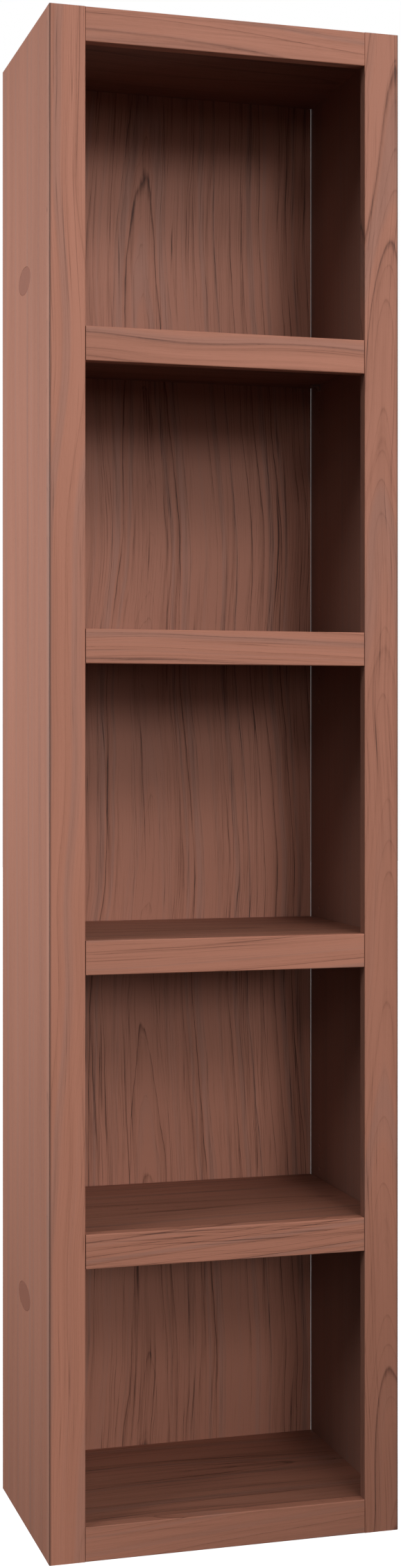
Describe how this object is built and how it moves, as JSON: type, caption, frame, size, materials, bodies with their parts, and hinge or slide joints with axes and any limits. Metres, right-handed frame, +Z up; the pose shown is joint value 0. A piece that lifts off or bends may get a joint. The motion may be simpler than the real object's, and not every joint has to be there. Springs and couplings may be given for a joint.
{
  "type": "bookcase with adjustable shelves",
  "caption": "Tall narrow open bookcase in reddish-brown wood decor, with deep front strips and shelves that lift off pins to be reset higher or lower.",
  "frame": {"origin": "on the floor, at the centre of the footprint", "axes": "+Z up; the open front faces -Y and the back panel is at +Y; +X is to the right seen from the front"},
  "size_m": [0.452, 0.3, 1.9],
  "materials": {
    "panel_foil": "satin wood-decor foil on particle board",
    "strip_foil": "satin wood-decor foil wrapped round a fibreboard strip",
    "board_foil": "satin wood-decor foil on particle board",
    "back_foil": "wood-decor print in front, raw hardboard behind",
    "beech": "raw beech",
    "steel": "bright zinc plating",
    "zinc": "die-cast zinc",
    "brown_plastic": "moulded matt plastic"
  },
  "bodies": {
    "case": {"side_panel_left": "panel_foil", "side_panel_right": "panel_foil", "front_stile_left": "strip_foil", "front_stile_right": "strip_foil", "top_rail": "strip_foil", "bottom_rail": "strip_foil", "top_board": "board_foil", "bottom_board": "board_foil", "back_panel": "back_foil", "back_nails": "steel", "cam_bolts": "steel", "cam_housings": "zinc", "cam_cover_caps": "brown_plastic", "side_dowels": "beech", "rail_dowels": "beech", "stile_dowels": "beech", "side_caps_left": "brown_plastic", "side_caps_right": "brown_plastic", "shelf_1_pins": "steel", "shelf_2_pins": "steel", "shelf_3_pins": "steel", "shelf_4_pins": "steel"},
    "shelf_1": {"shelf_1_board": "board_foil", "shelf_1_lip": "strip_foil", "shelf_1_dowels": "beech"},
    "shelf_2": {"shelf_2_board": "board_foil", "shelf_2_lip": "strip_foil", "shelf_2_dowels": "beech"},
    "shelf_3": {"shelf_3_board": "board_foil", "shelf_3_lip": "strip_foil", "shelf_3_dowels": "beech"},
    "shelf_4": {"shelf_4_board": "board_foil", "shelf_4_lip": "strip_foil", "shelf_4_dowels": "beech"}
  },
  "joints": [
    {"name": "shelf_1_lift", "type": "slide", "parent": "case", "child": "shelf_1", "axis": [0, 0, 1], "range_m": [0, 0.064]},
    {"name": "shelf_2_lift", "type": "slide", "parent": "case", "child": "shelf_2", "axis": [0, 0, 1], "range_m": [0, 0.064]},
    {"name": "shelf_3_lift", "type": "slide", "parent": "case", "child": "shelf_3", "axis": [0, 0, 1], "range_m": [0, 0.064]},
    {"name": "shelf_4_lift", "type": "slide", "parent": "case", "child": "shelf_4", "axis": [0, 0, 1], "range_m": [0, 0.064]}
  ]
}
